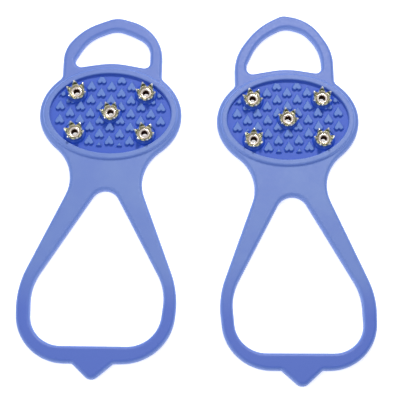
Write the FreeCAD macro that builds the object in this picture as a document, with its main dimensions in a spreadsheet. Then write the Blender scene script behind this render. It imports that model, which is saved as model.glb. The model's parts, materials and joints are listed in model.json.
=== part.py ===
"""A pair of pull-on ice cleats: two elastomer mouldings, each with five riveted six-toothed steel crowns.

Each cleat is modelled about its own tread centre: X across the shoe, Y towards the toe, Z from the flat
face that lies against the shoe's sole (Z = 0) towards the teeth. The pair lies side by side, teeth up.
The elastic moulding is cut at its flex lines, so that the toe loop and heel loop can bend and stretch.
"""

import FreeCAD, Part

import math
import os

import Sketcher
from FreeCAD import Placement, Rotation, Vector

ORIGIN = Vector(0, 0, 0)
UP = Vector(0, 0, 1)
SIDES = ("left", "right")
TEETH = 6
CORNER_PARTS = ("x", "y", "radius")

# name: millimetres, or degrees where the name says lean or turn
DIMENSIONS = {
    # where each cleat lies
    "left_across": -46.26,
    "left_along": 44.43,
    "left_lean": -1.3,
    "right_across": 49.16,
    "right_along": 40.82,
    "right_lean": 0.8,
    # moulding: heights
    "skin_thickness": 4.0,
    "floor_top": 3.2,
    "lug_top": 4.7,
    "lug_sink": 0.2,
    "rim_top": 5.3,
    "top_edge_radius": 1.6,
    "back_edge_radius": 0.5,
    "rim_edge_radius": 0.7,
    # moulding: the oval tread
    "flange_half_width": 38.2,
    "flange_half_length": 29.5,
    "rim_half_width": 36.0,
    "rim_half_length": 26.4,
    "recess_half_width": 32.7,
    "recess_half_length": 23.0,
    "lug_reach_half_width": 32.5,
    "lug_reach_half_length": 21.0,
    "lug_reach_offset": 1.25,
    "lug_field_half_width": 31.2,
    "lug_field_half_length": 21.5,
    "lug_field_offset": 0.4,
    "lug_field_front": 21.2,
    "lug_field_rear": -18.7,
    "lug_half_width": 2.5,
    "lug_length": 5.7,
    "lug_lobe_radius": 1.3,
    "lug_pitch_across": 5.43,
    "lug_pitch_along": 7.83,
    "lug_row_offset": 0.45,
    # moulding: the corners where the loops leave the flange
    "waist_radius": 22.4,
    "toe_root_radius": 4.1,
    # boxes that cut the moulding into pieces reach this far
    "cut_half_width": 60.0,
    "cut_front": 80.0,
    "cut_rear": -160.0,
    # flex lines, along the cleat
    "toe_flex_line": 33.0,
    "heel_flex_line": -38.0,
    "stretch_line": -88.0,
    "flex_clearance": 0.8,
    "stretch_clearance": 0.2,
    # studs: pattern and stack, from the back of the moulding
    "stud_across": 18.7,
    "stud_along": 11.6,
    "boss_radius": 5.8,
    "boss_top": 4.2,
    "lug_clearing_radius": 4.2,
    "bore_radius": 2.05,
    "pocket_radius": 5.2,
    "pocket_depth": 1.5,
    "washer_radius": 5.0,
    "washer_bore_radius": 2.1,
    "washer_back": 0.9,
    "rivet_flange_back": 0.4,
    "rivet_flange_radius": 3.6,
    "rivet_barrel_radius": 2.0,
    "rivet_inner_radius": 1.5,
    "rivet_lip_radius": 3.0,
    "crown_bore_radius": 2.05,
    "crown_disc_top": 5.1,
    "crown_root_radius": 4.1,
    "crown_inner_radius": 3.3,
    "crown_tip_radius": 5.5,
    "crown_tip_inner_radius": 5.1,
    "crown_tip_top": 9.4,
    "crown_notch_bottom": 5.4,
    "crown_notch_half_width": 0.75,
    "crown_notch_top_half_width": 2.62,
    # how far each crown is turned about its rivet
    "left_front_left_turn": 45.0,
    "left_front_right_turn": 52.0,
    "left_centre_turn": 0.0,
    "left_rear_left_turn": 53.0,
    "left_rear_right_turn": 51.0,
    "right_front_left_turn": 49.0,
    "right_front_right_turn": 29.0,
    "right_centre_turn": 46.0,
    "right_rear_left_turn": 28.0,
    "right_rear_right_turn": 2.0,
}

# outline: its corners, clockwise, each at x and y and rounded to a radius, in millimetres
OUTLINES = {
    "left_toe_edge": {
        "apex": (1.2, 57.6, 13.2),
        "right_brow": (14.3, 53.9, 22.6),
        "right_shoulder": (26.9, 43.9, 23.1),
        "right_foot": (26.9, 0.0, 1.0),
        "left_foot": (-27.1, 0.0, 1.0),
        "left_shoulder": (-27.1, 38.0, 17.7),
        "left_brow": (-16.7, 50.4, 34.3),
    },
    "left_toe_gap": {
        "apex": (1.3, 50.1, 11.5),
        "right_brow": (9.9, 47.0, 15.5),
        "right_shoulder": (20.2, 41.8, 10.4),
        "right_root": (20.2, 26.9, 3.2),
        "web": (0.0, 30.5, 45.0),
        "left_root": (-20.4, 26.9, 3.2),
        "left_shoulder": (-20.4, 31.9, 3.4),
        "left_brow": (-13.7, 43.8, 20.6),
    },
    "left_heel_edge": {
        "right_root": (7.9, -15.0, 1.0),
        "right_shoulder": (39.2, -97.8, 47.5),
        "right_flank": (38.0, -110.3, 49.0),
        "right_end": (35.7, -134.9, 27.5),
        "tab_right": (7.0, -135.7, 1.4),
        "tab_tip": (-4.0, -145.4, 4.5),
        "tab_left": (-14.1, -135.8, 1.4),
        "left_end": (-42.5, -136.3, 25.7),
        "left_flank": (-44.0, -111.2, 48.7),
        "left_shoulder": (-44.8, -97.2, 48.0),
        "left_root": (-8.3, -15.0, 1.0),
    },
    "left_foot_gap": {
        "front": (-0.4, -35.5, 7.6),
        "right_shoulder": (32.4, -96.3, 28.5),
        "right_flank": (30.8, -110.3, 37.0),
        "right_end": (29.1, -126.5, 17.6),
        "left_end": (-36.0, -127.1, 16.2),
        "left_flank": (-36.6, -110.5, 36.9),
        "left_shoulder": (-37.0, -95.8, 28.8),
    },
    "right_toe_edge": {
        "apex": (-1.1, 62.3, 6.8),
        "right_brow": (14.0, 59.4, 24.2),
        "right_shoulder": (26.0, 40.3, 26.8),
        "right_foot": (26.0, 0.0, 1.0),
        "left_foot": (-28.0, 0.0, 1.0),
        "left_shoulder": (-28.0, 38.0, 27.4),
        "left_brow": (-14.7, 55.8, 39.4),
    },
    "right_toe_gap": {
        "apex": (-0.3, 55.0, 10.3),
        "right_brow": (10.2, 51.9, 13.8),
        "right_shoulder": (19.3, 41.0, 23.0),
        "right_root": (19.3, 26.9, 3.2),
        "web": (0.0, 30.5, 45.0),
        "left_root": (-21.3, 26.9, 3.2),
        "left_shoulder": (-21.3, 33.0, 3.5),
        "left_brow": (-14.5, 47.6, 25.9),
    },
    "right_heel_edge": {
        "right_root": (8.4, -15.0, 1.0),
        "right_shoulder": (42.5, -97.6, 44.0),
        "right_flank": (42.1, -111.1, 40.0),
        "right_end": (41.4, -136.3, 25.1),
        "tab_right": (13.1, -135.8, 1.4),
        "tab_tip": (2.6, -145.3, 4.5),
        "tab_left": (-7.9, -135.5, 1.4),
        "left_end": (-36.0, -134.9, 25.6),
        "left_flank": (-37.8, -110.8, 39.9),
        "left_shoulder": (-39.2, -97.1, 44.0),
        "left_root": (-8.9, -15.0, 1.0),
    },
    "right_foot_gap": {
        "front": (0.6, -33.5, 8.5),
        "right_shoulder": (34.6, -96.3, 30.2),
        "right_flank": (34.9, -110.6, 38.0),
        "right_end": (35.3, -127.4, 15.4),
        "left_end": (-30.2, -126.2, 16.3),
        "left_flank": (-31.2, -110.7, 37.2),
        "left_shoulder": (-32.3, -95.7, 30.3),
    },
}

# stud name: its place in the pattern, in units of stud_across and stud_along
STUDS = {
    "front_left": (-1, 1),
    "front_right": (1, 1),
    "centre": (0, 0),
    "rear_left": (-1, -1),
    "rear_right": (1, -1),
}


# ---------------------------------------------------------------- document and sheet


def write_sheet(doc):
    """The spreadsheet of driving dimensions, one row each: label in column A, number in column B."""
    rows = dict(DIMENSIONS)
    for outline, corners in OUTLINES.items():
        for corner, place in corners.items():
            for part, value in zip(CORNER_PARTS, place):
                rows[f"{outline}_{corner}_{part}"] = value
    sheet = doc.addObject("Spreadsheet::Sheet", "dims")
    for row, (alias, value) in enumerate(rows.items(), start=1):
        sheet.set(f"A{row}", alias.replace("_", " "))
        sheet.set(f"B{row}", str(value))
        sheet.setAlias(f"B{row}", alias)
    doc.recompute()
    return sheet


class Cleat:
    """One cleat's share of the document: its side, its dimensions and its place."""

    def __init__(self, doc, sheet, side):
        self.doc = doc
        self.sheet = sheet
        self.side = side
        turn = Rotation(UP, self.size("lean", own=True))
        place = Vector(self.size("across", own=True), self.size("along", own=True), 0)
        self.placement = Placement(place, turn)

    def size(self, alias, own=False):
        """A dimension from the sheet. With own, the one that belongs to this side."""
        return float(self.sheet.get(f"{self.side}_{alias}" if own else alias))

    def outline(self, name):
        """A closed wire through the corners that the sheet gives for one of this side's outlines."""
        corners = []
        for corner in OUTLINES[f"{self.side}_{name}"]:
            corners.append([self.size(f"{name}_{corner}_{part}", own=True) for part in CORNER_PARTS])
        return tangent_outline(corners)

    def add(self, kind, name, **bound):
        """A document object of this cleat, with its properties bound to cells of the sheet."""
        thing = self.doc.addObject(kind, f"{self.side}_{name}")
        for prop, formula in bound.items():
            thing.setExpression(prop, formula)
        return thing

    def shape(self, name, shape):
        """A plain shape that Part's functions made from the sheet's numbers."""
        thing = self.add("Part::Feature", name)
        thing.Shape = shape
        return thing

    def name_node(self, thing, node, placement=None):
        """Labels a finished sub-part with the name of its node, and puts it in place."""
        thing.Label = f"{self.side}_{node}"
        thing.Placement = placement or self.placement
        return thing


# ---------------------------------------------------------------- shapes used more than once


def tangent_outline(corners):
    """A closed wire through corners (x, y, radius): straight runs joined by tangent arcs."""
    count = len(corners)
    starts, middles, ends = [], [], []
    for i, (x, y, radius) in enumerate(corners):
        here = Vector(x, y, 0)
        before = (Vector(*corners[i - 1][:2], 0) - here).normalize()
        after = (Vector(*corners[(i + 1) % count][:2], 0) - here).normalize()
        half = before.getAngle(after) / 2
        inwards = (before + after).normalize()
        reach = radius / math.tan(half)
        starts.append(here + before * reach)
        middles.append(here + inwards * (radius / math.sin(half) - radius))
        ends.append(here + after * reach)
    edges = []
    for i in range(count):
        edges.append(Part.Arc(starts[i], middles[i], ends[i]).toShape())
        edges.append(Part.LineSegment(ends[i], starts[(i + 1) % count]).toShape())
    return Part.Wire(edges)


def prism(wire, bottom, top):
    solid = Part.Face(wire).extrude(Vector(0, 0, top - bottom))
    solid.translate(Vector(0, 0, bottom))
    return solid


def ellipse_prism(half_width, half_length, bottom, top):
    edge = Part.Ellipse(ORIGIN, half_width, half_length).toShape()
    return prism(Part.Wire([edge]), bottom, top)


def level_edges(shape, height):
    """The edges of a shape that lie in the plane Z = height."""
    return [e for e in shape.Edges if all(abs(v.Z - height) < 1e-6 for v in e.Vertexes)]


# ---------------------------------------------------------------- the elastomer moulding


def inner_corners(solid, cleat, ahead):
    """The upright edges where a loop's outline leaves the oval flange, ahead of its centre or behind it."""
    half_width, half_length = cleat.size("flange_half_width"), cleat.size("flange_half_length")
    found = []
    for edge in solid.Edges:
        foot, head = edge.Vertexes[0], edge.Vertexes[-1]
        upright = math.hypot(foot.X - head.X, foot.Y - head.Y) < 1e-6
        on_oval = abs((foot.X / half_width) ** 2 + (foot.Y / half_length) ** 2 - 1) < 1e-3
        if upright and on_oval and (foot.Y > 1 if ahead else foot.Y < -1):
            found.append(edge)
    return found


def make_skin(cleat):
    """The whole flat sheet of the moulding, with both loops, before it is cut at the flex lines."""
    size = cleat.size
    thickness = size("skin_thickness")
    skin = ellipse_prism(size("flange_half_width"), size("flange_half_length"), 0, thickness)
    skin = skin.fuse(prism(cleat.outline("heel_edge"), 0, thickness))
    skin = skin.fuse(prism(cleat.outline("toe_edge"), 0, thickness)).removeSplitter()
    skin = skin.makeFillet(size("waist_radius"), inner_corners(skin, cleat, ahead=False))
    skin = skin.makeFillet(size("toe_root_radius"), inner_corners(skin, cleat, ahead=True))
    for gap in ("foot_gap", "toe_gap"):
        skin = skin.cut(prism(cleat.outline(gap), -1, thickness + 1))
    skin = skin.makeFillet(size("top_edge_radius"), level_edges(skin, thickness))
    skin = skin.makeFillet(size("back_edge_radius"), level_edges(skin, 0))
    return cleat.shape("skin", skin)


def region(cleat, name, front, rear):
    """A box across the whole cleat between two lines, front and rear, each a formula of the sheet."""
    box = cleat.add(
        "Part::Box",
        name,
        Width=f"({front}) - ({rear})",
        Length="2 * dims.cut_half_width",
        Height="dims.skin_thickness + 2",
    )
    box.setExpression("Placement.Base.x", "-dims.cut_half_width")
    box.setExpression("Placement.Base.y", rear)
    box.setExpression("Placement.Base.z", "-1")
    return box


def knuckle(cleat, name, line):
    """The round end that lets a loop turn about its flex line without meeting the tread."""
    rod = cleat.add(
        "Part::Cylinder",
        name,
        Radius="dims.skin_thickness / 2",
        Height="2 * dims.cut_half_width",
    )
    rod.Placement = Placement(ORIGIN, Rotation(Vector(0, 1, 0), 90))
    rod.setExpression("Placement.Base.x", "-dims.cut_half_width")
    rod.setExpression("Placement.Base.y", line)
    rod.setExpression("Placement.Base.z", "dims.skin_thickness / 2")
    return rod


def boolean(cleat, kind, name, base, tool):
    made = cleat.add(kind, name)
    made.Base, made.Tool = base, tool
    return made


def cut_loop(cleat, skin, node, line, front, rear):
    """A loop piece: the part of the skin between two lines, with a knuckle at the flex line."""
    piece = region(cleat, f"{node}_region", front, rear)
    if line:
        rod = knuckle(cleat, f"{node}_knuckle", line)
        piece = boolean(cleat, "Part::Fuse", f"{node}_space", piece, rod)
    loop = boolean(cleat, "Part::Common", node, skin, piece)
    return cleat.name_node(loop, node)


def make_loops(cleat, skin):
    """Toe loop, heel arms and heel bow. The arms bend at the heel flex line, and the bow pulls away."""
    half_gap = "dims.stretch_clearance / 2"
    return [
        cut_loop(cleat, skin, "toe_loop", "dims.toe_flex_line", "dims.cut_front", "dims.toe_flex_line"),
        cut_loop(
            cleat,
            skin,
            "heel_arms",
            "dims.heel_flex_line",
            "dims.heel_flex_line",
            f"dims.stretch_line + {half_gap}",
        ),
        cut_loop(cleat, skin, "heel_bow", None, f"dims.stretch_line - {half_gap}", "dims.cut_rear"),
    ]


def lug_outline(cleat, x, y):
    """A heart with its point towards the toe: two lobes, and two flanks that touch them."""
    size = cleat.size
    radius, length = size("lug_lobe_radius"), size("lug_length")
    tip = Vector(x, y + length / 2, 0)
    lobe_x = size("lug_half_width") - radius
    lobe_y = y - length / 2 + radius
    reach = math.hypot(lobe_x, tip.y - lobe_y)
    flank = math.asin(radius / reach) + math.atan2(lobe_x, tip.y - lobe_y)
    run = math.sqrt(reach**2 - radius**2)
    notch = Vector(x, lobe_y - math.sqrt(radius**2 - lobe_x**2), 0)
    edges = []
    for sign in (1, -1):
        touch = tip + Vector(sign * math.sin(flank), -math.cos(flank), 0) * run
        low = Vector(x + sign * lobe_x, lobe_y - radius, 0)
        edges.append(Part.LineSegment(tip, touch).toShape())
        edges.append(Part.Arc(touch, low, notch).toShape())
    return Part.Wire(Part.__sortEdges__(edges))


def lug_places(cleat):
    """Centres of the lugs: columns across the tread, every other one half a pitch further on."""
    size = cleat.size
    across, along = size("lug_pitch_across"), size("lug_pitch_along")
    reach_across, reach_along = size("lug_reach_half_width"), size("lug_reach_half_length")
    columns = math.ceil(reach_across / across)
    rows = math.ceil(reach_along / along) + 1
    for column in range(-columns, columns + 1):
        stagger = along / 2 if column % 2 else 0
        for row in range(-rows, rows + 1):
            x, y = column * across, row * along + stagger + size("lug_row_offset")
            reach = math.hypot(x / reach_across, (y - size("lug_reach_offset")) / reach_along)
            if reach < 1 and not under_a_crown(cleat, x, y):
                yield x, y


def under_a_crown(cleat, x, y):
    clearing = cleat.size("lug_clearing_radius")
    return any(math.hypot(x - sx, y - sy) < clearing for sx, sy in stud_places(cleat).values())


def stud_places(cleat):
    across, along = cleat.size("stud_across"), cleat.size("stud_along")
    return {name: (across * i, along * j) for name, (i, j) in STUDS.items()}


def make_lugs(cleat):
    """The heart-shaped lugs, trimmed to their oval field, and the round bosses that the crowns sit on."""
    size = cleat.size
    bottom, top = size("floor_top") - size("lug_sink"), size("lug_top")
    lugs = [prism(lug_outline(cleat, x, y), bottom, top) for x, y in lug_places(cleat)]
    lugs = Part.makeCompound(lugs).common(lug_field(cleat, bottom, top))
    lugs = lugs.cut(Part.makeCompound(stud_discs(cleat, bottom, top)))
    bosses = stud_discs(cleat, bottom, size("boss_top"))
    return cleat.shape("lugs", bosses[0].fuse(bosses[1:] + lugs.Solids))


def lug_field(cleat, bottom, top):
    """The oval that the lugs are trimmed to, with straight ends."""
    size = cleat.size
    half_width = size("lug_field_half_width")
    field = ellipse_prism(half_width, size("lug_field_half_length"), bottom, top)
    field.translate(Vector(0, size("lug_field_offset"), 0))
    length = size("lug_field_front") - size("lug_field_rear")
    corner = Vector(-half_width, size("lug_field_rear"), bottom)
    return field.common(Part.makeBox(2 * half_width, length, top - bottom, corner))


def stud_discs(cleat, bottom, top):
    """A disc of the bosses' radius round each stud."""
    radius = cleat.size("boss_radius")
    places = stud_places(cleat).values()
    return [Part.makeCylinder(radius, top - bottom, Vector(x, y, bottom)) for x, y in places]


def oval(cleat, name, part, bottom, height):
    """An elliptic plate or cutter, with its half axes, foot and height bound to the sheet."""
    ring = cleat.add(
        "Part::Ellipse",
        f"{name}_ring",
        MajorRadius=f"dims.{part}_half_width",
        MinorRadius=f"dims.{part}_half_length",
    )
    ring.setExpression("Placement.Base.z", bottom)
    plate = cleat.add("Part::Extrusion", name, LengthFwd=height)
    plate.Base = ring
    plate.DirMode = "Custom"
    plate.Dir = UP
    plate.Solid = True
    return plate


def rounded(cleat, name, base, height, alias):
    """Part::Fillet on the edges of base that lie at a height."""
    cleat.doc.recompute()
    radius = cleat.size(alias)
    picked = level_edges(base.Shape, height)
    numbers = [i for i, e in enumerate(base.Shape.Edges, 1) if any(e.isSame(p) for p in picked)]
    made = cleat.add("Part::Fillet", name)
    made.Base = base
    made.Edges = [(i, radius, radius) for i in numbers]
    return made


def stud_holes(cleat):
    """A through bore for each rivet, and a pocket in the back for its washer and flange."""
    cutters = []
    for name, (i, j) in STUDS.items():
        bore = cleat.add(
            "Part::Cylinder",
            f"{name}_bore",
            Radius="dims.bore_radius",
            Height="dims.rim_top + 2",
        )
        bore.setExpression("Placement.Base.z", "-1")
        pocket = cleat.add(
            "Part::Cylinder",
            f"{name}_pocket",
            Radius="dims.pocket_radius",
            Height="dims.pocket_depth + 1",
        )
        pocket.setExpression("Placement.Base.z", "-1")
        for cutter in (bore, pocket):
            cutter.setExpression("Placement.Base.x", f"{i} * dims.stud_across")
            cutter.setExpression("Placement.Base.y", f"{j} * dims.stud_along")
            cutters.append(cutter)
    holes = cleat.add("Part::Compound", "stud_holes")
    holes.Links = cutters
    return holes


def make_tread(cleat, skin):
    """The oval tread: flange, raised rim, sunk floor with its lugs, and the stud holes."""
    half_skin = "dims.skin_thickness / 2 + dims.flex_clearance"
    middle = region(
        cleat,
        "tread_region",
        f"dims.toe_flex_line - ({half_skin})",
        f"dims.heel_flex_line + {half_skin}",
    )
    flange = boolean(cleat, "Part::Common", "flange", skin, middle)
    rim = oval(cleat, "rim_plate", "rim", "0.5", "dims.rim_top - 0.5")
    body = boolean(cleat, "Part::Fuse", "flange_and_rim", flange, rim)
    recess = oval(cleat, "recess_cutter", "recess", "dims.floor_top", "dims.rim_top")
    body = boolean(cleat, "Part::Cut", "hollow_tread", body, recess)
    body = rounded(cleat, "soft_rim", body, cleat.size("rim_top"), "rim_edge_radius")
    body = boolean(cleat, "Part::Fuse", "lugged_tread", body, make_lugs(cleat))
    body = boolean(cleat, "Part::Cut", "tread", body, stud_holes(cleat))
    return cleat.name_node(body, "tread")


# ---------------------------------------------------------------- the steel studs


def origin_feature(body, role):
    return next(f for f in body.Origin.OriginFeatures if f.Role == role)


def profile(cleat, body, name, corners, round_edges=()):
    """A closed profile in the body's XZ plane, through corners (across, up), each a formula of the sheet.

    An edge in round_edges is a half circle over the top of its two corners; the others are straight.
    """
    sketch = body.newObject("Sketcher::SketchObject", f"{body.Name}_{name}")
    sketch.AttachmentSupport = [(origin_feature(body, "XZ_Plane"), "")]
    sketch.MapMode = "FlatFace"
    points = [Vector(worked_out(cleat, x), worked_out(cleat, y), 0) for x, y in corners]
    count = len(points)
    for i, start in enumerate(points):
        end = points[(i + 1) % count]
        if i in round_edges:
            circle = Part.Circle((start + end) / 2, UP, (start - end).Length / 2)
            edge = Part.ArcOfCircle(circle, 0, math.pi)
        else:
            edge = Part.LineSegment(start, end)
        sketch.addGeometry(edge, False)
    for i, (across, up) in enumerate(corners):
        sketch.addConstraint(Sketcher.Constraint("Coincident", i, 2, (i + 1) % count, 1))
        bind(sketch, "DistanceX", (i, 1), points[i].x, across)
        bind(sketch, "DistanceY", (i, 1), points[i].y, up)
        if i in round_edges:
            bind(sketch, "DistanceY", (i, 3), points[i].y, up)
    return sketch


def bind(sketch, kind, point, value, formula):
    """Fixes a point's distance from the sketch's origin, and ties that distance to the sheet."""
    number = sketch.addConstraint(Sketcher.Constraint(kind, -1, 1, *point, value))
    sketch.setExpression(f"Constraints[{number}]", formula)


def worked_out(cleat, formula):
    """The value of a formula that is one cell of the sheet, or minus that cell."""
    alias = formula.replace("dims.", "")
    return -cleat.size(alias[1:]) if alias.startswith("-") else cleat.size(alias)


def turned(cleat, name, corners, round_edges=()):
    """A body made by revolving a profile about its own Z axis."""
    body = cleat.add("PartDesign::Body", name)
    sketch = profile(cleat, body, "profile", corners, round_edges)
    spun = body.newObject("PartDesign::Revolution", f"{body.Name}_turned")
    spun.Profile = sketch
    spun.ReferenceAxis = (sketch, ["V_Axis"])
    spun.Angle = 360
    cleat.doc.recompute()
    return body


def make_crown(cleat, name):
    """A dished steel ring whose wall is cut into six splayed teeth."""
    crown = turned(
        cleat,
        f"{name}_crown_body",
        [
            ("dims.crown_bore_radius", "dims.boss_top"),
            ("dims.crown_root_radius", "dims.boss_top"),
            ("dims.crown_tip_radius", "dims.crown_tip_top"),
            ("dims.crown_tip_inner_radius", "dims.crown_tip_top"),
            ("dims.crown_inner_radius", "dims.crown_disc_top"),
            ("dims.crown_bore_radius", "dims.crown_disc_top"),
        ],
    )
    notch = crown.newObject("PartDesign::Pocket", f"{crown.Name}_notch")
    notch.Profile = profile(
        cleat,
        crown,
        "notch_profile",
        [
            ("-dims.crown_notch_half_width", "dims.crown_notch_bottom"),
            ("dims.crown_notch_half_width", "dims.crown_notch_bottom"),
            ("dims.crown_notch_top_half_width", "dims.crown_tip_top"),
            ("-dims.crown_notch_top_half_width", "dims.crown_tip_top"),
        ],
    )
    notch.setExpression("Length", "2 * dims.crown_tip_radius")
    ring = crown.newObject("PartDesign::PolarPattern", f"{crown.Name}_notches")
    ring.Originals = [notch]
    ring.Axis = (origin_feature(crown, "Z_Axis"), [""])
    ring.Angle = 360
    ring.Occurrences = TEETH
    crown.Tip = ring
    return crown


def make_rivet(cleat, name):
    """A tubular rivet: a flange at the back, a barrel, and a lip rolled over the crown."""
    return turned(
        cleat,
        f"{name}_rivet_body",
        [
            ("dims.rivet_inner_radius", "dims.rivet_flange_back"),
            ("dims.rivet_flange_radius", "dims.rivet_flange_back"),
            ("dims.rivet_flange_radius", "dims.washer_back"),
            ("dims.rivet_barrel_radius", "dims.washer_back"),
            ("dims.rivet_barrel_radius", "dims.crown_disc_top"),
            ("dims.rivet_lip_radius", "dims.crown_disc_top"),
            ("dims.rivet_inner_radius", "dims.crown_disc_top"),
        ],
        round_edges=[5],
    )


def make_washer(cleat, name):
    """The backing washer that spreads the rivet's pull over the elastomer."""
    return turned(
        cleat,
        f"{name}_washer_body",
        [
            ("dims.washer_bore_radius", "dims.washer_back"),
            ("dims.washer_radius", "dims.washer_back"),
            ("dims.washer_radius", "dims.pocket_depth"),
            ("dims.washer_bore_radius", "dims.pocket_depth"),
        ],
    )


def make_studs(cleat):
    nodes = []
    for name, (x, y) in stud_places(cleat).items():
        turn = cleat.size(f"{name}_turn", own=True)
        place = cleat.placement * Placement(Vector(x, y, 0), Rotation(UP, turn))
        for node, make in (("crown", make_crown), ("rivet", make_rivet), ("washer", make_washer)):
            nodes.append(cleat.name_node(make(cleat, name), f"{name}_{node}", place))
    return nodes


# ---------------------------------------------------------------- the whole part


def check(doc, nodes):
    """Stops if any object failed, or if a sub-part isn't sound solids."""
    doc.recompute()
    for thing in doc.Objects:
        if {"Invalid", "Error"} & set(thing.State):
            raise RuntimeError(f"{thing.Name} failed: {thing.State}")
    for node in nodes:
        shape = node.Shape
        if shape.isNull() or not shape.isValid() or not shape.Solids:
            raise RuntimeError(f"{node.Label} has no valid solid")


def report(nodes):
    box = FreeCAD.BoundBox()
    for node in nodes:
        box.add(node.Shape.BoundBox)
        print(f"{node.Label}: {node.Shape.Volume:.1f} mm3, {len(node.Shape.Solids)} solid(s)")
    print(f"X {box.XMin:.2f} to {box.XMax:.2f}, Y {box.YMin:.2f} to {box.YMax:.2f}")
    print(f"Z {box.ZMin:.2f} to {box.ZMax:.2f}")


def main():
    doc = FreeCAD.newDocument("ice_cleats")
    sheet = write_sheet(doc)
    nodes = []
    for side in SIDES:
        cleat = Cleat(doc, sheet, side)
        skin = make_skin(cleat)
        nodes.append(make_tread(cleat, skin))
        nodes.extend(make_loops(cleat, skin))
        nodes.extend(make_studs(cleat))
    check(doc, nodes)
    report(nodes)
    os.makedirs("parts", exist_ok=True)
    for node in nodes:
        node.Shape.exportStep(f"parts/{node.Label}.step")


main()
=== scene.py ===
"""Looks of a pair of pull-on ice cleats: elastomer mouldings, riveted steel crowns, floor, light and camera.

Each moulding is a signed distance field, worked out in the cleat's own frame in millimetres (X across,
Y towards the toe, Z up from the flat back), and then turned into meshes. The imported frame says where
each cleat lies.
"""

import json
import math

import bmesh
import bpy
import numpy as np
import openvdb
from mathutils import Matrix, Vector


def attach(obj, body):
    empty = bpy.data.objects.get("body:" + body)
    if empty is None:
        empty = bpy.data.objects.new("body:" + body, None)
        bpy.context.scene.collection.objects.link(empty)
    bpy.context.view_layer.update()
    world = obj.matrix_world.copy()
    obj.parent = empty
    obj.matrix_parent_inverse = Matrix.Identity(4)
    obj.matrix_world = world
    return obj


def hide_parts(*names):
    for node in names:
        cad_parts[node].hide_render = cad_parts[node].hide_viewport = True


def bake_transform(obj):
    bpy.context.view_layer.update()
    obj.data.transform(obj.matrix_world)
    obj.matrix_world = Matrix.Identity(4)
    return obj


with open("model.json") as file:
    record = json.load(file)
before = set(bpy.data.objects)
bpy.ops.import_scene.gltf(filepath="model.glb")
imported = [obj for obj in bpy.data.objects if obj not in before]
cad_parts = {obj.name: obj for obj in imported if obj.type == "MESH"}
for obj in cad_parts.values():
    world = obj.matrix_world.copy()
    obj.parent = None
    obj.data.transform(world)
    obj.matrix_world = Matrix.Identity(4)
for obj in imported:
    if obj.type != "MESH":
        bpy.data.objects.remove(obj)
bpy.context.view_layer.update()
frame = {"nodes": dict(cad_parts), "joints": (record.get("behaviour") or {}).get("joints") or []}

MM = 0.001
SIDES = ("left", "right")
TEETH = 6

# ---------------------------------------------------------------- sizes of the moulding, millimetres

# heights above the flat back
SKIN = 4.0
FLOOR_TOP = 3.2
RIM_TOP = 5.3
BOSS_TOP = 4.2
LUG_TOP = 4.7
BURIED = 1.0

# radii of the edges, and of the fillets where one shape meets the next
BACK_EDGE = 0.6
TOP_EDGE = 1.9
RIM_EDGE = 1.0
RIM_ROOT = 0.7
RECESS_EDGE = 0.6
RECESS_ROOT = 0.4
BOSS_EDGE = 0.9
BOSS_ROOT = 0.4
LUG_EDGE = 0.35
LUG_ROOT = 0.35

# half lengths across and along of the tread's ovals
FLANGE = (38.2, 29.5)
RIM = (36.0, 26.4)
RECESS = (32.7, 23.0)
BOSS = 5.8
BORE = 2.05
POCKET = 5.2
POCKET_DEPTH = 1.5
STUD_PITCH = (18.7, 11.6)
STUDS = {
    "front_left": (-1, 1),
    "front_right": (1, 1),
    "centre": (0, 0),
    "rear_left": (-1, -1),
    "rear_right": (1, -1),
}

LUG_PITCH = (5.43, 7.83)
LUG_OFFSET = 0.45
LUG_HALF_WIDTH = 2.5
LUG_LENGTH = 5.7
LUG_LOBE = 1.3
LUG_TIP = 0.2
LUG_DRAFT = 0.12
LUG_REACH = (32.5, 21.0)
LUG_REACH_OFFSET = 1.25
LUG_FIELD = (31.2, 21.5)
LUG_FIELD_OFFSET = 0.4
LUG_FIELD_ENDS = (-18.7, 21.2)
LUG_CLEARING = 4.2

HEEL_FLEX = -38.0

WAIST_RADIUS = 22.4
TOE_ROOT_RADIUS = 4.1

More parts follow.
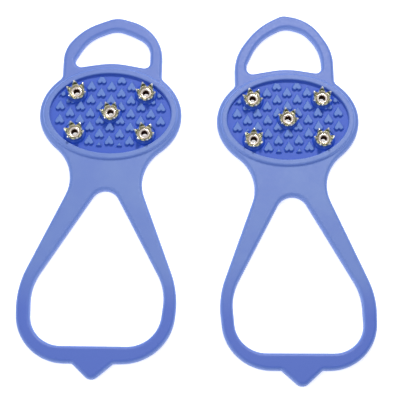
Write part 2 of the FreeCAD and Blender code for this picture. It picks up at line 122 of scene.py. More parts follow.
# outline: its corners (x, y, radius), clockwise
OUTLINES = {
    "left": {
        "toe_edge": [
            (1.2, 57.6, 13.2), (14.3, 53.9, 22.6), (26.9, 43.9, 23.1), (26.9, 0.0, 1.0), (-27.1, 0.0, 1.0),
            (-27.1, 38.0, 17.7), (-16.7, 50.4, 34.3),
        ],
        "toe_gap": [
            (1.3, 50.1, 11.5), (9.9, 47.0, 15.5), (20.2, 41.8, 10.4), (20.2, 26.9, 3.2), (0.0, 30.5, 45.0),
            (-20.4, 26.9, 3.2), (-20.4, 31.9, 3.4), (-13.7, 43.8, 20.6),
        ],
        "heel_edge": [
            (7.9, -15.0, 1.0), (39.2, -97.8, 47.5), (38.0, -110.3, 49.0), (35.7, -134.9, 27.5),
            (7.0, -135.7, 1.4), (-4.0, -145.4, 4.5), (-14.1, -135.8, 1.4), (-42.5, -136.3, 25.7),
            (-44.0, -111.2, 48.7), (-44.8, -97.2, 48.0), (-8.3, -15.0, 1.0),
        ],
        "foot_gap": [
            (-0.4, -35.5, 7.6), (32.4, -96.3, 28.5), (30.8, -110.3, 37.0), (29.1, -126.5, 17.6),
            (-36.0, -127.1, 16.2), (-36.6, -110.5, 36.9), (-37.0, -95.8, 28.8),
        ],
    },
    "right": {
        "toe_edge": [
            (-1.1, 62.3, 6.8), (14.0, 59.4, 24.2), (26.0, 40.3, 26.8), (26.0, 0.0, 1.0), (-28.0, 0.0, 1.0),
            (-28.0, 38.0, 27.4), (-14.7, 55.8, 39.4),
        ],
        "toe_gap": [
            (-0.3, 55.0, 10.3), (10.2, 51.9, 13.8), (19.3, 41.0, 23.0), (19.3, 26.9, 3.2),
            (0.0, 30.5, 45.0), (-21.3, 26.9, 3.2), (-21.3, 33.0, 3.5), (-14.5, 47.6, 25.9),
        ],
        "heel_edge": [
            (8.4, -15.0, 1.0), (42.5, -97.6, 44.0), (42.1, -111.1, 40.0), (41.4, -136.3, 25.1),
            (13.1, -135.8, 1.4), (2.6, -145.3, 4.5), (-7.9, -135.5, 1.4), (-36.0, -134.9, 25.6),
            (-37.8, -110.8, 39.9), (-39.2, -97.1, 44.0), (-8.9, -15.0, 1.0),
        ],
        "foot_gap": [
            (0.6, -33.5, 8.5), (34.6, -96.3, 30.2), (34.9, -110.6, 38.0), (35.3, -127.4, 15.4),
            (-30.2, -126.2, 16.3), (-31.2, -110.7, 37.2), (-32.3, -95.7, 30.3),
        ],
    },
}


# ---------------------------------------------------------------- distance fields


def rounded_outline(corners, step=math.radians(3)):
    """Points of a closed outline through rounded corners (x, y, radius)."""
    points = []
    count = len(corners)
    for i, (x, y, radius) in enumerate(corners):
        here = np.array((x, y))
        before = np.array(corners[i - 1][:2]) - here
        after = np.array(corners[(i + 1) % count][:2]) - here
        before = before / np.linalg.norm(before)
        after = after / np.linalg.norm(after)
        half = math.acos(np.clip(before @ after, -1, 1)) / 2
        inwards = (before + after) / np.linalg.norm(before + after)
        centre = here + inwards * radius / math.sin(half)
        start = here + before * radius / math.tan(half) - centre
        turn = math.pi - 2 * half
        if before[0] * after[1] - before[1] * after[0] > 0:
            turn = -turn
        steps = max(2, math.ceil(abs(turn) / step))
        for k in range(steps + 1):
            a = turn * k / steps
            c, s = math.cos(a), math.sin(a)
            points.append(centre + np.array((c * start[0] - s * start[1], s * start[0] + c * start[1])))
    return np.array(points)


def flange_point(angle, beyond=0.0):
    """The point of the flange's oval edge at an angle, or that far outside it."""
    a, b = FLANGE
    edge = np.array((a * math.cos(angle), b * math.sin(angle)))
    out = edge / (a * a, b * b)
    return edge + out / np.linalg.norm(out) * beyond


def root_fillet(start, end, radius, angles):
    """Where a straight side of a loop, from start to end, meets the flange: the round inside corner.

    Gives the flange's angle where the corner touches it, and the corner's points from there to the side.
    """
    along = (end - start) / np.linalg.norm(end - start)
    outwards = np.array((-along[1], along[0]))
    outwards *= np.sign(outwards[0]) * np.sign(start[0] + end[0])
    near, far = angles
    for _ in range(40):
        middle = (near + far) / 2
        short = (flange_point(middle, radius) - start) @ outwards < radius
        near, far = (middle, far) if short else (near, middle)
    centre = flange_point(middle, radius)
    first = flange_point(middle) - centre
    last = -outwards * radius
    turn = math.atan2(first[0] * last[1] - first[1] * last[0], first @ last)
    steps = 12
    points = []
    for k in range(steps + 1):
        a = turn * k / steps
        c, s = math.cos(a), math.sin(a)
        points.append(centre + np.array((c * first[0] - s * first[1], s * first[0] + c * first[1])))
    return middle, np.array(points)


def whole_outline(side):
    """The outer edge of a moulding, clockwise from the front right: flange, heel loop, flange, toe loop."""
    toe_at, heel_at = OUTLINES[side]["toe_edge"], OUTLINES[side]["heel_edge"]
    leg = [np.array(corner[:2]) for corner in toe_at]
    arm = [np.array(corner[:2]) for corner in heel_at]
    a, front_right = root_fillet(leg[2], leg[3], TOE_ROOT_RADIUS, (1.4, 0.2))
    b, rear_right = root_fillet(arm[0], arm[1], WAIST_RADIUS, (-1.5, -0.2))
    c, rear_left = root_fillet(arm[-1], arm[-2], WAIST_RADIUS, (math.pi + 1.5, math.pi + 0.2))
    d, front_left = root_fillet(leg[5], leg[4], TOE_ROOT_RADIUS, (math.pi - 1.4, math.pi - 0.2))
    right_oval = [flange_point(angle) for angle in np.linspace(a, b, 60)]
    left_oval = [flange_point(angle) for angle in np.linspace(c, d, 60)]
    heel = rounded_outline(heel_at)
    bow = heel[heel[:, 1] < min(rear_right[-1][1], rear_left[-1][1])]
    toe = rounded_outline(toe_at)
    loop = toe[toe[:, 1] > max(front_right[-1][1], front_left[-1][1])]
    crossing = np.argmax(np.abs(np.diff(loop[:, 0]))) + 1
    loop = np.roll(loop, -crossing, axis=0)
    right_flank = (front_right[::-1], right_oval, rear_right)
    left_flank = (rear_left[::-1], left_oval, front_left)
    return np.vstack((*right_flank, bow, *left_flank, loop))


def polygon_distance(x, y, points):
    """Signed distance to a closed outline, negative inside."""
    nearest = np.full(x.shape, 1e9)
    inside = np.zeros(x.shape, bool)
    for (ax, ay), (bx, by) in zip(points, np.roll(points, -1, axis=0)):
        ex, ey = bx - ax, by - ay
        px, py = x - ax, y - ay
        along = np.clip((px * ex + py * ey) / max(ex * ex + ey * ey, 1e-12), 0, 1)
        nearest = np.minimum(nearest, (px - along * ex) ** 2 + (py - along * ey) ** 2)
        crosses = (ay > y) != (by > y)
        if ey:
            inside ^= crosses & (x < ax + ex * (y - ay) / ey)
    return np.where(inside, -1, 1) * np.sqrt(nearest)


def ellipse_distance(x, y, axes):
    """Near an ellipse, the signed distance to it."""
    a, b = axes
    k1 = np.hypot(x / a, y / b)
    k2 = np.hypot(x / a**2, y / b**2)
    return k1 * (k1 - 1) / np.maximum(k2, 1e-9)


def round_union(a, b, radius):
    """Union of two fields, with a round fillet in the corner between them."""
    corner = np.hypot(np.maximum(radius - a, 0), np.maximum(radius - b, 0))
    return np.maximum(radius, np.minimum(a, b)) - corner


def round_cut(a, b, radius):
    """a without b, with the edge between them rounded over."""
    return -round_union(-a, b, radius)


def bevelled(flat, upright, radius):
    """Where a flat face (distance flat) meets a wall (distance upright), with the edge rounded."""
    u, v = upright + radius, flat + radius
    return np.minimum(np.maximum(u, v), 0) + np.hypot(np.maximum(u, 0), np.maximum(v, 0)) - radius


def plate(outline, z, bottom, top, top_edge, bottom_edge):
    return np.maximum(bevelled(z - top, outline, top_edge), bevelled(bottom - z, outline, bottom_edge))


def stud_places():
    return [(i * STUD_PITCH[0], j * STUD_PITCH[1]) for i, j in STUDS.values()]


def lug_distance(x, y):
    """Distance in plan to the nearest heart-shaped lug, points towards the toe."""
    across, along = LUG_PITCH
    lobe_x = LUG_HALF_WIDTH - LUG_LOBE
    lobe_y = LUG_LOBE - LUG_LENGTH / 2
    tip_y = LUG_LENGTH / 2 - LUG_TIP
    nearest = np.full(np.broadcast(x, y).shape, 9.0)
    for column in (np.floor(x / across), np.floor(x / across) + 1):
        shift = LUG_OFFSET + np.where(column % 2 == 1, along / 2, 0)
        for row in (np.floor((y - shift) / along), np.floor((y - shift) / along) + 1):
            cx, cy = column * across, row * along + shift
            shown = np.hypot(cx / LUG_REACH[0], (cy - LUG_REACH_OFFSET) / LUG_REACH[1]) < 1
            for sx, sy in stud_places():
                shown &= np.hypot(cx - sx, cy - sy) > LUG_CLEARING
            px, py = np.abs(x - cx), y - cy
            heart = tapered_capsule(px - lobe_x, py - lobe_y, -lobe_x, tip_y - lobe_y, LUG_LOBE, LUG_TIP)
            nearest = np.minimum(nearest, np.where(shown, heart, 9.0))
    rear, front = LUG_FIELD_ENDS
    nearest = np.maximum(nearest, np.maximum(rear - y, y - front))
    return np.maximum(nearest, ellipse_distance(x, y - LUG_FIELD_OFFSET, LUG_FIELD))


def tapered_capsule(px, py, bx, by, ra, rb):
    """Distance to the hull of a circle of radius ra at the origin and one of radius rb at (bx, by).

    What lies left of the line between them, towards the other half of a heart, counts as inside.
    """
    length = math.hypot(bx, by)
    along = (px * bx + py * by) / length
    side = (px * by - py * bx) / length
    side = np.where(side > 0, side, np.maximum(-side - 2 * np.maximum(along, 0), 0))
    slope = (ra - rb) / length
    cosine = math.sqrt(1 - slope * slope)
    reach = cosine * along - slope * side
    at_start = np.hypot(along, side) - ra
    at_end = np.hypot(along - length, side) - rb
    between = slope * along + cosine * side - ra
    return np.where(reach < 0, at_start, np.where(reach > cosine * length, at_end, between))


class Moulding:
    """One cleat's elastomer moulding as a distance field."""

    def __init__(self, side):
        self.edge = whole_outline(side)
        self.gaps = [rounded_outline(OUTLINES[side][name]) for name in ("foot_gap", "toe_gap")]

    def plan(self, x, y):
        """Everything that depends on the place in plan only."""
        skin = polygon_distance(x, y, self.edge)
        for gap in self.gaps:
            skin = np.maximum(skin, -polygon_distance(x, y, gap))
        studs = np.full(x.shape, 1e9)
        for sx, sy in stud_places():
            studs = np.minimum(studs, np.hypot(x - sx, y - sy))
        return {
            "skin": skin,
            "rim": ellipse_distance(x, y, RIM),
            "recess": ellipse_distance(x, y, RECESS),
            "lugs": lug_distance(x, y),
            "studs": studs,
        }

    def distance(self, plan, z):
        body = plate(plan["skin"], z, 0, SKIN, TOP_EDGE, BACK_EDGE)
        rim = plate(plan["rim"], z, BURIED, RIM_TOP, RIM_EDGE, 0.2)
        body = round_union(body, rim, RIM_ROOT)
        recess = np.maximum(bevelled(FLOOR_TOP - z, plan["recess"], RECESS_ROOT), z - RIM_TOP - 5)
        body = round_cut(body, recess, RECESS_EDGE)
        boss = plate(plan["studs"] - BOSS, z, BURIED, BOSS_TOP, BOSS_EDGE, 0.1)
        body = round_union(body, boss, BOSS_ROOT)
        slope = LUG_DRAFT * np.maximum(z - FLOOR_TOP, 0)
        lugs = np.maximum(plan["lugs"] + slope, BOSS - plan["studs"])
        body = round_union(body, plate(lugs, z, BURIED, LUG_TOP, LUG_EDGE, 0.1), LUG_ROOT)
        bores = np.maximum(plan["studs"] - BORE, z - LUG_TOP)
        pockets = np.maximum(plan["studs"] - POCKET, z - POCKET_DEPTH)
        return np.maximum(body, -np.minimum(bores, pockets))


# ---------------------------------------------------------------- meshes from the fields


def skin_mesh(moulding, low, high, voxel):
    """Vertices, faces and normals of the moulding's surface inside a box, in millimetres."""
    low, high = np.array(low), np.array(high)
    counts = np.ceil((high - low) / voxel).astype(int) + 1
    xs, ys, zs = (low[i] + voxel * np.arange(counts[i]) for i in range(3))
    x, y = np.meshgrid(xs, ys, indexing="ij")
    plan = {name: value[:, :, None] for name, value in moulding.plan(x, y).items()}
    field = moulding.distance(plan, zs[None, None, :])
    grid = openvdb.FloatGrid(2 * voxel)
    grid.copyFromArray(np.clip(field, -2 * voxel, 2 * voxel).astype(np.float32))
    points, quads = grid.convertToQuads(isovalue=0.0)
    points = low + points.astype(float) * voxel
    for _ in range(2):
        distance, normals = surface(moulding, points)
        points = points - normals * np.clip(distance, -voxel, voxel)[:, None]
    return points, quads, surface(moulding, points)[1]


def surface(moulding, points):
    """Distance at each point, and the way the field grows there."""
    step = 0.02
    x, y, z = points.T
    here = moulding.plan(x, y)
    value = moulding.distance(here, z)
    right = moulding.distance(moulding.plan(x + step, y), z)
    ahead = moulding.distance(moulding.plan(x, y + step), z)
    above = moulding.distance(here, z + step)
    normals = np.stack((right - value, ahead - value, above - value), axis=1)
    lengths = np.linalg.norm(normals, axis=1)
    return value, normals / np.maximum(lengths, 1e-9)[:, None]


# ---------------------------------------------------------------- where each cleat lies


def joint_place(name):
    joint = next(j for j in frame["joints"] if j["name"] == name)
    return Vector(joint["pos_m"])


def cleat_matrix(side):
    """From the cleat's own millimetres to the row frame: its two flex lines give its centre line."""
    toe, heel = joint_place(f"{side}_toe_flex"), joint_place(f"{side}_heel_flex")
    ahead = (toe - heel).normalized()
    up = Vector((0, 0, 1))
    across = ahead.cross(up)
    centre = heel - ahead * HEEL_FLEX * MM
    turn = Matrix((across, ahead, up)).transposed().to_4x4()
    return Matrix.Translation((centre.x, centre.y, 0)) @ turn @ Matrix.Scale(MM, 4)


# ---------------------------------------------------------------- pieces of each moulding

SOLE_FRONT = 26.9
SOLE_REAR = -30.0
NECK_REAR = -52.0
SEAM_MARGIN = 1.0

# piece: its box in millimetres, the size of a voxel, and its seams as (y, which way the piece lies from it)
PIECES = {
    "sole": ((-40, SOLE_REAR, -0.8), (40, SOLE_FRONT, 7.2), 0.32, [(SOLE_FRONT, -1), (SOLE_REAR, 1)]),
    "toe_strap": ((-31, SOLE_FRONT, -0.8), (30, 65, 5), 0.36, [(SOLE_FRONT, 1)]),
    "neck": ((-26, NECK_REAR, -0.8), (26, SOLE_REAR, 5), 0.36, [(SOLE_REAR, -1), (NECK_REAR, 1)]),
    "heel_strap": ((-47, -148, -0.8), (45, NECK_REAR, 5), 0.36, [(NECK_REAR, -1)]),
}

# piece: the bodies that it lies on, the stretch along the cleat between them, and the CAD nodes that it
# stands for;
# a piece with a stretch stays where it was made, and one without follows its first body
FOLLOWS = {
    "sole": (["tread"], None, ["tread"]),
    "toe_strap": (["tread", "toe_loop"], (27.0, 41.0), ["toe_loop"]),
    "neck": (["tread", "heel_arms"], (-30.0, -50.0), ["heel_arms"]),
    "heel_strap": (["heel_arms", "heel_bow"], (-54.0, -128.0), ["heel_bow"]),
}


def piece_surface(piece, side):
    low, high, voxel, seams = PIECES[piece]
    low = [low[0], low[1] - SEAM_MARGIN, low[2]]
    high = [high[0], high[1] + SEAM_MARGIN, high[2]]
    return skin_mesh(Moulding(side), low, high, voxel)


def make_piece(piece, side, skin):
    """One piece of a moulding as a closed mesh, cut square at its seams and placed in the row frame."""
    points, quads, normals = skin
    mesh = bpy.data.meshes.new(f"{side}_{piece}")
    mesh.from_pydata(points, [], quads)
    shell = bmesh.new()
    shell.from_mesh(mesh)
    layer = shell.verts.layers.float_vector.new("skin_normal")
    for vert, normal in zip(shell.verts, normals):
        vert[layer] = normal
    for y, way in PIECES[piece][3]:
        parts = shell.verts[:] + shell.edges[:] + shell.faces[:]
        cut = bmesh.ops.bisect_plane(
            shell, geom=parts, plane_co=(0, y, 0), plane_no=(0, -way, 0), clear_outer=True
        )
        rims = [e for e in cut["geom_cut"] if isinstance(e, bmesh.types.BMEdge)]
        bmesh.ops.triangle_fill(shell, use_beauty=True, edges=rims, normal=(0, -way, 0))
    shell.to_mesh(mesh)
    shell.free()
    count = len(mesh.vertices)
    places = np.empty(count * 3)
    mesh.vertices.foreach_get("co", places)
    kept = mesh.attributes.new("moulded", "FLOAT_VECTOR", "POINT")
    kept.data.foreach_set("vector", places)
    set_normals(mesh, [y for y, _ in PIECES[piece][3]])
    mesh.transform(cleat_matrix(side))
    thing = bpy.data.objects.new(f"{side}_{piece}", mesh)
    bpy.context.collection.objects.link(thing)
    return thing


def set_normals(mesh, seams):
    """Shades the skin by the field's own normals, and the hidden end faces flat."""
    skin = np.empty(len(mesh.vertices) * 3, np.float32)
    mesh.attributes["skin_normal"].data.foreach_get("vector", skin)
    mesh.attributes.remove(mesh.attributes["skin_normal"])
    skin = skin.reshape(-1, 3)
    skin /= np.maximum(np.linalg.norm(skin, axis=1), 1e-9)[:, None]
    corners = np.empty(len(mesh.loops), int)
    mesh.loops.foreach_get("vertex_index", corners)
    wanted = skin[corners]
    for face in mesh.polygons:
        flat_end = abs(face.normal.y) > 0.999 and any(abs(face.center.y - y) < 0.001 for y in seams)
        if flat_end:
            wanted[face.loop_start : face.loop_start + face.loop_total] = face.normal
    mesh.normals_split_custom_set(wanted.tolist())


def attach_piece(thing, piece, side):
    bodies, stretch, nodes = FOLLOWS[piece]
    bodies = [f"{side}_{name}" for name in bodies]
    if stretch:
        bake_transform(thing)
    else:
        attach(thing, bodies[0])
    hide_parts(*(f"{side}_{node}" for node in nodes))


# ---------------------------------------------------------------- steel studs

CROWN_SHEET = 0.8
# the middle of the crown's sheet from its bore to a tooth's tip: (radius, height, half angle of a tooth)
CROWN_PROFILE = [
    (2.15, 4.62, 30.0), (2.9, 4.62, 30.0), (3.35, 4.66, 30.0), (3.7, 4.85, 30.0), (3.9, 5.2, 29.0),
    (4.02, 5.6, 26.0), (4.15, 6.1, 22.5), (4.35, 6.8, 17.5), (4.6, 7.6, 12.5), (4.85, 8.4, 7.5),
    (5.12, 9.2, 2.2),
]
TOOTH_COLUMNS = 8

# outlines turned about the stud's axis: (radius, height) from the front of the bore, round the outside,
# to its back
RIVET_PROFILE = [
    (1.5, 4.3), (1.52, 4.7), (1.62, 5.1), (1.8, 5.45), (2.05, 5.7), (2.35, 5.82), (2.62, 5.78), (2.84, 5.62),
    (2.97, 5.38), (2.95, 5.15), (2.7, 5.1), (2.05, 5.1), (2.0, 5.0), (2.0, 0.95), (3.5, 0.9), (3.6, 0.8),
    (3.6, 0.5), (3.5, 0.4), (1.7, 0.4), (1.55, 0.5), (1.5, 0.7),
]
WASHER_PROFILE = [
    (2.1, 1.4), (2.2, 1.5), (4.9, 1.5), (5.0, 1.4), (5.0, 1.0), (4.9, 0.9), (2.2, 0.9), (2.1, 1.0),
]
TURNED_STEPS = 64


def crown_turn(side, stud):
    """How far a crown is turned about its rivet, read from where its CAD node's highest corners lie."""
    node = frame["nodes"][f"{side}_{stud}_crown"]
    corners = np.array([node.matrix_world @ v.co for v in node.data.vertices])
    tips = corners[corners[:, 2] > corners[:, 2].max() - 0.02 * MM]
    centre = stud_point(side, stud)
    angles = np.arctan2(tips[:, 1] - centre.y, tips[:, 0] - centre.x)
    return float(np.angle(np.exp(1j * TEETH * angles).mean())) / TEETH


def stud_point(side, stud):
    i, j = STUDS[stud]
    return cleat_matrix(side) @ Vector((i * STUD_PITCH[0], j * STUD_PITCH[1], 0))


def crown_mesh():
    """Six splayed teeth on a dished ring, bent from one sheet, with its first tooth towards +X."""
    shell = bmesh.new()
    for tooth in range(TEETH):
        middle = math.tau * tooth / TEETH
        rows = []
        for radius, height, half in CROWN_PROFILE:
            row = []
            for k in range(TOOTH_COLUMNS + 1):
                a = middle + math.radians(half) * (2 * k / TOOTH_COLUMNS - 1)
                row.append(shell.verts.new((radius * math.cos(a), radius * math.sin(a), height)))
            rows.append(row)
        for low, high in zip(rows, rows[1:]):
            for k in range(TOOTH_COLUMNS):
                shell.faces.new((low[k], high[k], high[k + 1], low[k + 1]))
    bmesh.ops.remove_doubles(shell, verts=shell.verts, dist=0.001)
    mesh = bpy.data.meshes.new("crown")
    shell.to_mesh(mesh)
    shell.free()
    return mesh


def turned_mesh(name, profile):
    count = len(profile)
    points, faces = [], []
    for step in range(TURNED_STEPS):
        a = math.tau * step / TURNED_STEPS
        points += [(r * math.cos(a), r * math.sin(a), z) for r, z in profile]
        ahead = (step + 1) % TURNED_STEPS
        for k in range(count):
            following = (k + 1) % count
            here, there = step * count, ahead * count
            faces.append((here + k, here + following, there + following, there + k))
    mesh = bpy.data.meshes.new(name)
    mesh.from_pydata(points, [], faces)
    mesh.flip_normals()
    return mesh


def finished(mesh, modifiers):
    """The mesh with modifiers applied, in metres and shaded smooth."""
    thing = bpy.data.objects.new("work", mesh)
    bpy.context.collection.objects.link(thing)
    for kind, settings in modifiers:
        modifier = thing.modifiers.new(kind, kind)
        for name, value in settings.items():
            setattr(modifier, name, value)
    made = bpy.data.meshes.new_from_object(thing.evaluated_get(bpy.context.evaluated_depsgraph_get()))
    bpy.data.objects.remove(thing)
    made.transform(Matrix.Scale(MM, 4))
    made.shade_smooth()
    return made


def stud_meshes():
    bevel = {"width": 0.13, "segments": 2, "limit_method": "ANGLE", "angle_limit": math.radians(50)}
    sheet = {"thickness": CROWN_SHEET, "offset": 0, "use_even_offset": True}
    smooth = ("WEIGHTED_NORMAL", {"keep_sharp": True})
    fine = ("SUBSURF", {"levels": 1, "render_levels": 1})
    return {
        "crown": finished(crown_mesh(), [("SOLIDIFY", sheet), ("BEVEL", bevel), fine, smooth]),
        "rivet": finished(turned_mesh("rivet", RIVET_PROFILE), [smooth]),
        "washer": finished(turned_mesh("washer", WASHER_PROFILE), [smooth]),
    }


def place_stud(side, stud, meshes, materials):
    turn = crown_turn(side, stud)
    for part, mesh in meshes.items():
        thing = bpy.data.objects.new(f"{side}_{stud}_{part}_finish", mesh)
        bpy.context.collection.objects.link(thing)
        thing.location = stud_point(side, stud)
        thing.rotation_euler.z = turn
        thing.data.materials.clear()
        thing.data.materials.append(materials[part])
        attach(thing, f"{side}_tread")
        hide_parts(f"{side}_{stud}_{part}")


# ---------------------------------------------------------------- materials

# shares of painted sheen along the cleat, from the pull tab at 0 to the toe at 1: lighter on neck and arms,
# where the key light's reflection peaks
PAINTED_SHEEN = [(0.19, 0.0), (0.31, 1.0), (0.62, 0.9), (0.85, 0.45)]

SKIN_DEEP = (0.044, 0.098, 0.385)
# painted sheen: the lighter veil of the key light's reflection on neck and arms
SKIN_SHEEN = (0.105, 0.18, 0.415)
# painted sheen on edges that slope away from straight up
SKIN_EDGE_SHEEN = (0.17, 0.27, 0.62)
# painted glow: faint blue emission that lifts the rubber's shadows
SKIN_PAINTED_GLOW = (0.02, 0.12, 1.0, 1)
# painted shade on the recess floor, below the rim
RECESS_SHADE = (0.034, 0.086, 0.41)
STUD_SHADE = (0.006, 0.052, 0.40)
# painted light: lug tops lighter than the shaded floor between them
LIT_LUG_TOPS = (0.095, 0.175, 0.44)

# painted shadow of the rivet's lip on the crown
LIP_SHADOW = (0.32, 0.29, 0.18)
DISH = (0.96, 0.96, 0.78)
# painted shade and dark reflection on the teeth
OLIVE_SHADE = (0.17, 0.22, 0.06)
# painted highlight at the tooth tips
TIP_HIGHLIGHT = (0.95, 0.95, 0.84)
# painted shade inside the rivet's tube
TUBE_SHADE = (0.05, 0.022, 0.018)
LIP = (0.95, 0.86, 0.81)
LIP_INNER = (0.66, 0.54, 0.49)
LIP_GROOVE = (0.40, 0.30, 0.25)


def new_material(name):
    material = bpy.data.materials.new(name)
    material.use_nodes = True
    tree = material.node_tree
    return material, tree, tree.nodes["Principled BSDF"]


def add_node(tree, kind, **settings):
    node = tree.nodes.new(kind)
    for name, value in settings.items():
        setattr(node, name, value)
    return node


def noise(tree, where, scale, detail):
    node = add_node(tree, "ShaderNodeTexNoise")
    node.inputs["Scale"].default_value = scale
    node.inputs["Detail"].default_value = detail
    tree.links.new(where, node.inputs["Vector"])
    return node.outputs["Fac"]


def ramp(tree, value, stops):
    node = add_node(tree, "ShaderNodeValToRGB")
    for element, (place, colour) in zip(node.color_ramp.elements, stops):
        element.position = place
        element.color = (*colour, 1)
    for place, colour in stops[2:]:
        node.color_ramp.elements.new(place).color = (*colour, 1)
    tree.links.new(value, node.inputs["Fac"])
    return node.outputs["Color"]


def bump(tree, shader, height, distance, strength):
    node = add_node(tree, "ShaderNodeBump")
    node.inputs["Distance"].default_value = distance
    node.inputs["Strength"].default_value = strength
    tree.links.new(height, node.inputs["Height"])
    tree.links.new(node.outputs["Normal"], shader.inputs["Normal"])


def arithmetic(tree, operation, a, b):
    """A Math node on two values, each an output or a number."""
    node = add_node(tree, "ShaderNodeMath", operation=operation)
    for socket, value in zip(node.inputs, (a, b)):
        if isinstance(value, (int, float)):
            socket.default_value = value
        else:
            tree.links.new(value, socket)
    return node.outputs["Value"]


def scaled(tree, value, low, high):
    """A value stretched so that low is 0 and high is 1."""
    node = add_node(tree, "ShaderNodeMapRange")
    node.inputs["From Min"].default_value = low
    node.inputs["From Max"].default_value = high
    tree.links.new(value, node.inputs["Value"])
    return node.outputs["Result"]


def blended(tree, share, a, b):
    """Colour a where share is 0 and b where it is 1, each an output or a colour."""
    node = add_node(tree, "ShaderNodeMix", data_type="RGBA")
    tree.links.new(share, node.inputs["Factor"])
    for socket, value in zip((node.inputs[6], node.inputs[7]), (a, b)):
        if isinstance(value, tuple):
            socket.default_value = (*value, 1)
        else:
            tree.links.new(value, socket)
    return node.outputs[2]


def length_of(tree, vector, factors):
    """Length of a vector once each part has been multiplied by a factor."""
    stretch = add_node(tree, "ShaderNodeVectorMath", operation="MULTIPLY")
    stretch.inputs[1].default_value = factors
    tree.links.new(vector, stretch.inputs[0])
    measure = add_node(tree, "ShaderNodeVectorMath", operation="LENGTH")
    tree.links.new(stretch.outputs["Vector"], measure.inputs[0])
    return measure.outputs["Value"]


def stud_gap(tree, where):
    """Distance in plan to the nearest stud's axis. The four outer studs are folded onto one."""
    folded = add_node(tree, "ShaderNodeVectorMath", operation="ABSOLUTE")
    tree.links.new(where, folded.inputs[0])
    corner = add_node(tree, "ShaderNodeVectorMath", operation="SUBTRACT")
    corner.inputs[1].default_value = (*STUD_PITCH, 0)
    tree.links.new(folded.outputs["Vector"], corner.inputs[0])
    outer = length_of(tree, corner.outputs["Vector"], (1, 1, 0))
    return arithmetic(tree, "MINIMUM", outer, length_of(tree, where, (1, 1, 0)))


def split(tree, vector):
    node = add_node(tree, "ShaderNodeSeparateXYZ")
    tree.links.new(vector, node.inputs["Vector"])
    return node.outputs


def elastomer():
    """Satin moulded elastomer, with painted light: painted shadow round the studs, painted shade on the
    recess floor under lighter lug tops, painted sheen on neck and arms and at every edge, and a faint
    painted glow.
    """
    material, tree, shader = new_material("elastomer")
    where = add_node(tree, "ShaderNodeAttribute", attribute_name="moulded").outputs["Vector"]
    facing = split(tree, add_node(tree, "ShaderNodeTexCoord").outputs["Normal"])["Z"]
    along = scaled(tree, split(tree, where)["Y"], -150, 70)
    height = scaled(tree, split(tree, where)["Z"], 2.8, 5.2)

    # painted sheen along the cleat, strongest on neck and arms, broken up by noise
    sheen_share = ramp(tree, along, [(place, (share,) * 3) for place, share in PAINTED_SHEEN])
    cloud = ramp(tree, noise(tree, where, 0.06, 2.0), [(0.35, (0.7,) * 3), (0.65, (1.0,) * 3)])
    skin = blended(tree, arithmetic(tree, "MULTIPLY", sheen_share, cloud), SKIN_DEEP, SKIN_SHEEN)
    # painted sheen: paler where the surface slopes, by the height of its normal
    edges = ramp(tree, facing, [(0.3, (0.9,) * 3), (0.65, (1.0,) * 3), (0.9, (0.3,) * 3), (1.0, (0.0,) * 3)])
    skin = blended(tree, edges, skin, SKIN_EDGE_SHEEN)

    # inside the recess: painted shade on the floor, painted shadow round the studs, lighter lug tops
    oval = length_of(tree, where, (1 / (RECESS[0] + 0.5), 1 / (RECESS[1] + 0.5), 0))
    inside = ramp(tree, oval, [(0.975, (1.0,) * 3), (1.0, (0.0,) * 3)])
    # painted shadow of the crowns on the floor round each stud
    floor = blended(tree, scaled(tree, stud_gap(tree, where), 5.0, 9.0), STUD_SHADE, RECESS_SHADE)
    # painted light by height: shaded floor low, lit lug tops high
    hollow = blended(tree, ramp(tree, height, [(0.55, (0.0,) * 3), (0.72, (1.0,) * 3)]), floor, LIT_LUG_TOPS)
    colour = blended(tree, inside, skin, hollow)
    tree.links.new(colour, shader.inputs["Base Color"])

    rough = ramp(tree, noise(tree, where, 0.9, 3.0), [(0.3, (0.46,) * 3), (0.7, (0.54,) * 3)])
    tree.links.new(rough, shader.inputs["Roughness"])
    shine = ramp(tree, inside, [(0.0, (0.7,) * 3), (1.0, (0.35,) * 3)])
    tree.links.new(shine, shader.inputs["Specular IOR Level"])
    shader.inputs["Sheen Weight"].default_value = 0.15
    shader.inputs["Sheen Roughness"].default_value = 0.4
    shader.inputs["Sheen Tint"].default_value = (0.75, 0.85, 1.0, 1)
    # painted glow, standing in for light scattered inside the rubber
    shader.inputs["Emission Color"].default_value = SKIN_PAINTED_GLOW
    shader.inputs["Emission Strength"].default_value = 0.1
    bump(tree, shader, noise(tree, where, 4.0, 2.0), 0.02 * MM, 0.3)
    return material


def plated(name):
    """Plated steel with faint scratches, and what its colours depend on: place, radius and height."""
    material, tree, shader = new_material(name)
    place = add_node(tree, "ShaderNodeTexCoord")
    where = place.outputs["Object"]
    wear = ramp(tree, noise(tree, where, 1500, 3.0), [(0.3, (0.14,) * 3), (0.7, (0.24,) * 3)])
    tree.links.new(wear, shader.inputs["Roughness"])
    bump(tree, shader, noise(tree, where, 2500, 3.0), 0.01 * MM, 0.4)
    radius = scaled(tree, length_of(tree, where, (1000, 1000, 0)), 0, 6)
    height = scaled(tree, arithmetic(tree, "MULTIPLY", split(tree, where)["Z"], 1000.0), 4, 10)
    return material, tree, shader, place, radius, height


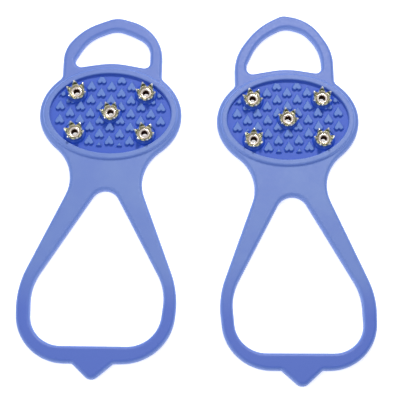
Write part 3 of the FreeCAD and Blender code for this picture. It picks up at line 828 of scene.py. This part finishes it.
def crown_steel():
    """Yellowish plate: a painted shadow ring round the rivet's lip, a bright dish, and teeth darker on the
    inside with painted shade and reflection, with painted highlights at the tips.
    """
    material, tree, shader, place, radius, height = plated("crown_steel")
    # painted shadow ring under the rivet's lip, then the bright dish
    dish = ramp(tree, radius, [(0.54, LIP_SHADOW), (0.575, DISH), (0.66, DISH), (0.72, OLIVE_SHADE)])
    # painted light on the teeth: olive shade partway up and painted highlights at the tips, with the inner
    # faces darker than the outer
    inner = ramp(tree, height, [(0.2, DISH), (0.3, OLIVE_SHADE), (0.68, OLIVE_SHADE), (0.8, TIP_HIGHLIGHT)])
    outer = ramp(tree, height, [(0.1, DISH), (0.35, DISH), (0.5, OLIVE_SHADE), (0.8, TIP_HIGHLIGHT)])
    inwards = add_node(tree, "ShaderNodeVectorMath", operation="DOT_PRODUCT")
    tree.links.new(place.outputs["Object"], inwards.inputs[0])
    tree.links.new(place.outputs["Normal"], inwards.inputs[1])
    side = scaled(tree, inwards.outputs["Value"], 0.001, 0.003)
    teeth = blended(tree, side, inner, outer)
    beyond = ramp(tree, radius, [(0.63, (0.0,) * 3), (0.67, (1.0,) * 3)])
    tree.links.new(blended(tree, beyond, dish, teeth), shader.inputs["Base Color"])
    shader.inputs["Metallic"].default_value = 0.6
    return material


def rivet_steel():
    """Nickel plate: painted shade inside the tube, dark and without metal or specular shine, and a thin
    darker ring round the lip.
    """
    material, tree, shader, _, radius, _ = plated("rivet_steel")
    # painted shade: the inside of the tube dark
    tube = [(0.268, TUBE_SHADE), (0.285, LIP_INNER)]
    lip = [(0.32, LIP), (0.365, LIP), (0.385, LIP_GROOVE), (0.41, LIP), (0.495, LIP_INNER)]
    tree.links.new(ramp(tree, radius, tube + lip), shader.inputs["Base Color"])
    # no metal or specular shine inside the tube, part of its painted shade
    shine_outside_tube = ramp(tree, radius, [(0.262, (0.0,) * 3), (0.285, (0.6,) * 3)])
    tree.links.new(shine_outside_tube, shader.inputs["Metallic"])
    tree.links.new(shine_outside_tube, shader.inputs["Specular IOR Level"])
    return material


def washer_steel():
    material, _, shader, *_ = plated("washer_steel")
    shader.inputs["Base Color"].default_value = (0.66, 0.66, 0.65, 1)
    shader.inputs["Metallic"].default_value = 1.0
    return material


def stud_materials():
    return {"crown": crown_steel(), "rivet": rivet_steel(), "washer": washer_steel()}


# ---------------------------------------------------------------- floor, light and camera

CAMERA_DISTANCE = 0.7
CAMERA_ELEVATION = math.radians(72)
CAMERA_LENS = 118.9
LOOK_AT = Vector((0.00191, -0.00319, 0))

FLOOR_SIZE = 6
FLOOR_DROP = 0.2 * MM
FLOOR_GLOW = 0.55

# light: where it hangs, its size and its power
LAMPS = {
    "key": ((0.15, 0.8, 1.1), 0.25, 12),
    "fill": ((-0.7, -0.3, 0.9), 0.6, 3),
}
# brightness of the sky, from the horizon at 0 to straight up at 1
SKY = [(0.0, 0.20), (0.6, 0.36), (1.0, 0.66)]


def make_floor():
    bpy.ops.mesh.primitive_plane_add(size=FLOOR_SIZE, location=(0, 0, -FLOOR_DROP))
    floor = bpy.context.object
    floor.name = "floor"
    material, _, shader = new_material("floor")
    shader.inputs["Base Color"].default_value = (0.9, 0.9, 0.9, 1)
    shader.inputs["Roughness"].default_value = 0.9
    shader.inputs["Emission Color"].default_value = (1, 1, 1, 1)
    shader.inputs["Emission Strength"].default_value = FLOOR_GLOW
    floor.data.materials.append(material)


def area_light(name, place, size, power):
    light = bpy.data.lights.new(name, "AREA")
    light.size = size
    light.energy = power
    lamp = bpy.data.objects.new(name, light)
    lamp.location = place
    lamp.rotation_euler = (LOOK_AT - Vector(place)).to_track_quat("-Z", "Y").to_euler()
    bpy.context.collection.objects.link(lamp)


def light_scene():
    world = bpy.data.worlds.new("studio")
    bpy.context.scene.world = world
    world.use_nodes = True
    tree = world.node_tree
    background = tree.nodes["Background"]
    up = split(tree, add_node(tree, "ShaderNodeTexCoord").outputs["Generated"])["Z"]
    sky = ramp(tree, up, [(place, (grey,) * 3) for place, grey in SKY])
    tree.links.new(sky, background.inputs["Color"])
    for name, (place, size, power) in LAMPS.items():
        area_light(name, place, size, power)
    bpy.context.scene.view_settings.view_transform = "Standard"


def make_camera():
    camera = bpy.data.cameras.new("camera")
    camera.lens = CAMERA_LENS
    camera.sensor_width = 36
    viewer = bpy.data.objects.new("camera", camera)
    reach = Vector((0, -math.cos(CAMERA_ELEVATION), math.sin(CAMERA_ELEVATION)))
    viewer.location = LOOK_AT + reach * CAMERA_DISTANCE
    viewer.rotation_euler = (-reach).to_track_quat("-Z", "Y").to_euler()
    bpy.context.collection.objects.link(viewer)
    bpy.context.scene.camera = viewer


# ---------------------------------------------------------------- putting it together


def make_mouldings():
    material = elastomer()
    for side in SIDES:
        for piece in PIECES:
            thing = make_piece(piece, side, piece_surface(piece, side))
            thing.data.materials.append(material)
            attach_piece(thing, piece, side)


def make_studs():
    meshes, materials = stud_meshes(), stud_materials()
    for side in SIDES:
        for stud in STUDS:
            place_stud(side, stud, meshes, materials)


make_camera()
light_scene()
make_floor()
make_mouldings()
make_studs()
